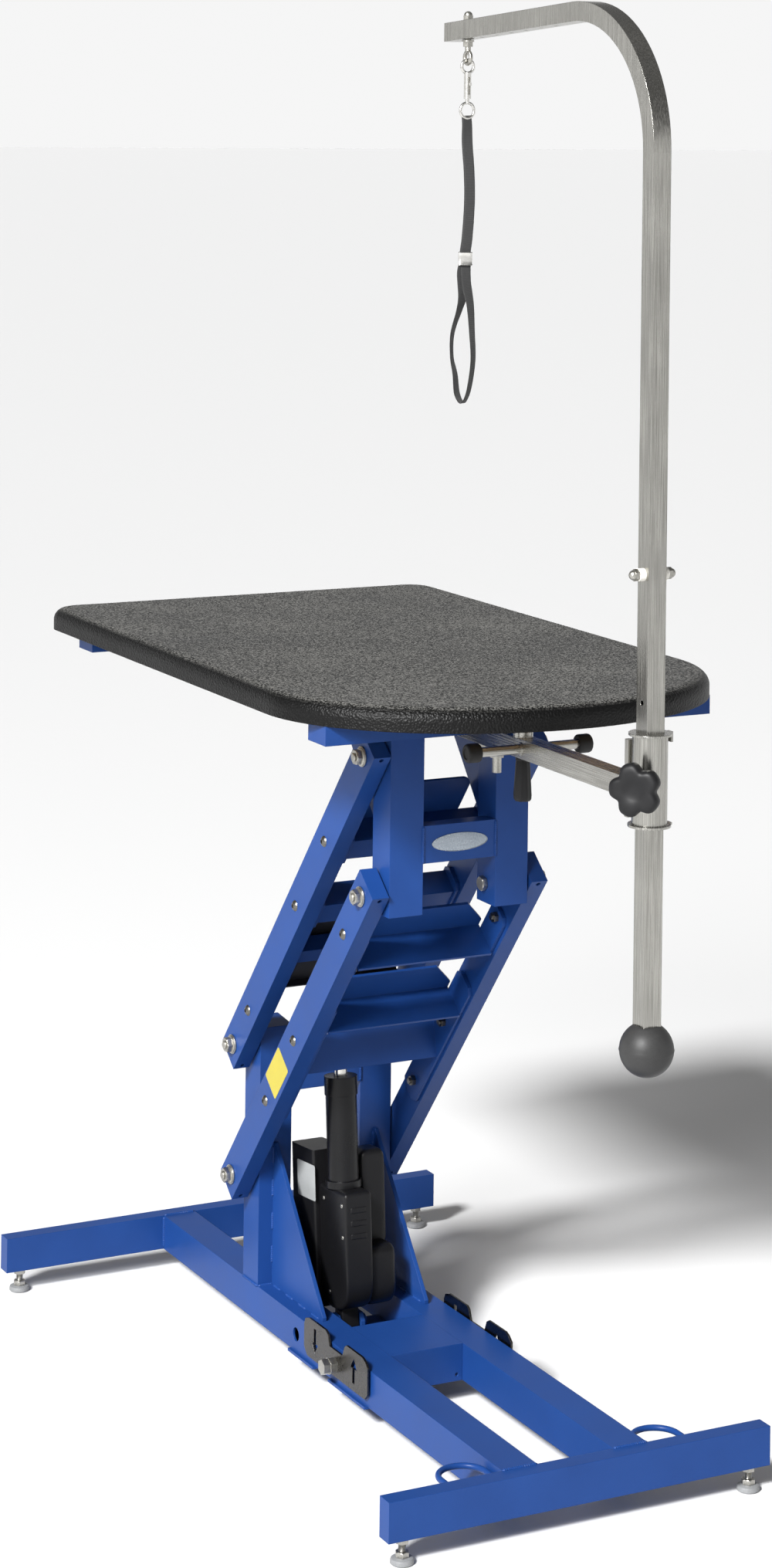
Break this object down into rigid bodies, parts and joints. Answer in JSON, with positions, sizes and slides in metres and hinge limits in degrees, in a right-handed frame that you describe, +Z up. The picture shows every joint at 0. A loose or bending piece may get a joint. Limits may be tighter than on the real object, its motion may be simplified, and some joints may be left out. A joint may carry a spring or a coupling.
{
  "type": "grooming table",
  "caption": "Powered lifting pet-grooming table: parallel-link Z frame with actuator, foot pedals, rubber-covered top with rounded end, and a swing arm with mast and noose.",
  "frame": {"origin": "middle of the footprint on the floor: middle of the whole box seen from above, at the underside of the foot pads", "axes": "+Z up, +Y from the rounded end with the mast towards the square end of the top, +X across to the right"},
  "size_m": [0.726, 1.3169, 1.9335],
  "materials": {
    "badge": "domed",
    "black_plastic": "moulded, matt",
    "black_screw": "black oxide",
    "blue_paint": "powder coat, satin",
    "board": "plywood",
    "chrome": "polished",
    "nylon": "natural nylon",
    "rubber": "matt",
    "stainless": "brushed",
    "top_cover": "pebbled non-slip",
    "webbing": "woven webbing",
    "zinc": "zinc plated"
  },
  "bodies": {
    "base": {"front_cross_tube": "blue_paint", "rear_cross_tube": "blue_paint", "base_rails": "blue_paint", "lower_posts": "blue_paint", "lower_gussets": "blue_paint", "lower_cross_member": "blue_paint", "switch_cover": "blue_paint", "actuator_mount": "blue_paint", "tie_down_loops": "blue_paint", "foot_nuts": "zinc", "lower_pivot_bolts": "zinc"},
    "lower_links": {"left_lower_link": "blue_paint", "right_lower_link": "blue_paint", "lower_link_frame": "blue_paint", "lower_link_brace": "blue_paint", "lower_link_screws": "black_screw"},
    "upper_links": {"left_upper_link": "blue_paint", "right_upper_link": "blue_paint", "upper_link_frame": "blue_paint", "upper_guard_plate": "black_screw", "upper_link_screws": "black_screw", "lifting_crossbar": "blue_paint"},
    "upper_frame": {"upper_posts": "blue_paint", "upper_cross_member": "blue_paint", "name_plate": "badge", "upper_gussets": "blue_paint", "table_cross_tubes": "blue_paint", "table_rails": "blue_paint", "tabletop_cover": "top_cover", "tabletop_board": "board", "arm_mount_plate": "blue_paint", "arm_pivot_bolt": "zinc", "upper_pivot_bolts": "zinc"},
    "actuator_body": {"actuator_housing": "black_plastic", "actuator_tube": "black_plastic", "control_box": "black_plastic"},
    "actuator_rod": {"actuator_rod": "chrome"},
    "swing_arm": {"support_arm": "stainless", "cross_bar": "stainless", "bar_end_caps": "rubber", "mast_sleeve": "stainless"},
    "clamp": {"clamp_handle": "black_plastic"},
    "knob": {"star_knob": "black_plastic"},
    "mast": {"mast_tube": "stainless", "stop_bolt": "zinc", "stop_spacers": "nylon", "ball_bumper": "rubber", "eye_bolt": "zinc"},
    "pedal_rocker": {"pedals": "stainless", "pedal_shaft": "zinc"},
    "foot_fl": {"foot_front_left": "zinc"},
    "foot_fr": {"foot_front_right": "zinc"},
    "foot_rl": {"foot_rear_left": "zinc"},
    "foot_rr": {"foot_rear_right": "zinc"},
    "snap": {"snap_hook": "chrome"},
    "trigger": {"snap_trigger": "zinc"},
    "swivel": {"snap_swivel": "chrome"},
    "noose_strap": {"noose": "webbing"},
    "slide_lock": {"noose_lock": "chrome"}
  },
  "joints": [
    {"name": "lift", "type": "hinge", "parent": "base", "child": "lower_links", "pos_m": [0, 0.3264, 0.2384], "axis": [-1, 0, 0], "range_deg": [-47.5, 3.5]},
    {"name": "upper_link_swing", "type": "hinge", "parent": "base", "child": "upper_links", "pos_m": [0, 0.3264, 0.427], "axis": [-1, 0, 0], "range_deg": [-48, 4]},
    {"name": "table_level", "type": "hinge", "parent": "lower_links", "child": "upper_frame", "pos_m": [0, -0.07751, 0.72838], "axis": [1, 0, 0], "range_deg": [-48, 4]},
    {"name": "actuator_tilt", "type": "hinge", "parent": "base", "child": "actuator_body", "pos_m": [0, 0.1744, 0.056], "axis": [-1, 0, 0], "range_deg": [-8.61, 0.82]},
    {"name": "actuator_stroke", "type": "slide", "parent": "actuator_body", "child": "actuator_rod", "axis": [0, 0.0898, 0.996], "range_m": [-0.1202, 0.0098]},
    {"name": "arm_swing", "type": "hinge", "parent": "upper_frame", "child": "swing_arm", "pos_m": [0, -0.2076, 0.955], "axis": [0, 0, 1], "range_deg": [-45, 45]},
    {"name": "clamp_turn", "type": "hinge", "parent": "swing_arm", "child": "clamp", "pos_m": [0, -0.2776, 0.955], "axis": [0, 0, 1], "range_deg": [-180, 180]},
    {"name": "mast_height", "type": "slide", "parent": "swing_arm", "child": "mast", "axis": [0, 0, 1], "range_m": [-0.14, 0.23]},
    {"name": "knob_turn", "type": "hinge", "parent": "swing_arm", "child": "knob", "pos_m": [0, -0.5936, 0.968], "axis": [-0.766, -0.6428, 0], "continuous": true},
    {"name": "pedal_rock", "type": "hinge", "parent": "base", "child": "pedal_rocker", "pos_m": [0, 0.0264, 0.06], "axis": [1, 0, 0], "range_deg": [-7, 7], "stiffness_Nm_per_rad": 6},
    {"name": "snap_sway", "type": "hinge", "parent": "mast", "child": "snap", "pos_m": [0, -0.1021, 1.862], "axis": [1, 0, 0], "range_deg": [-30, 30]},
    {"name": "trigger_pull", "type": "slide", "parent": "snap", "child": "trigger", "axis": [0, 0, -1], "range_m": [0, 0.01], "stiffness_N_per_m": 80},
    {"name": "swivel_turn", "type": "hinge", "parent": "snap", "child": "swivel", "pos_m": [0, -0.1021, 1.8], "axis": [0, 0, 1], "continuous": true},
    {"name": "noose_sway", "type": "hinge", "parent": "swivel", "child": "noose_strap", "pos_m": [0, -0.1021, 1.7795], "axis": [1, 0, 0], "range_deg": [-20, 20]},
    {"name": "lock_slide", "type": "slide", "parent": "noose_strap", "child": "slide_lock", "axis": [0, 0, 1], "range_m": [0, 0.15]},
    {"name": "level_fl", "type": "hinge", "parent": "base", "child": "foot_fl", "pos_m": [-0.254, -0.4469, 0.02], "axis": [0, 0, 1], "continuous": true},
    {"name": "level_fr", "type": "hinge", "parent": "base", "child": "foot_fr", "pos_m": [0.254, -0.4469, 0.02], "axis": [0, 0, 1], "continuous": true},
    {"name": "level_rl", "type": "hinge", "parent": "base", "child": "foot_rl", "pos_m": [-0.3376, 0.6435, 0.02], "axis": [0, 0, 1], "continuous": true},
    {"name": "level_rr", "type": "hinge", "parent": "base", "child": "foot_rr", "pos_m": [0.3376, 0.6435, 0.02], "axis": [0, 0, 1], "continuous": true}
  ],
  "couplings": [
    {"joint": "upper_link_swing", "follows": "lift", "ratio": 1},
    {"joint": "table_level", "follows": "lift", "ratio": 1},
    {"joint": "actuator_tilt", "follows": "lift", "ratio": 0.17708},
    {"joint": "actuator_stroke", "follows": "lift", "m_per_rad": 0.14377}
  ]
}
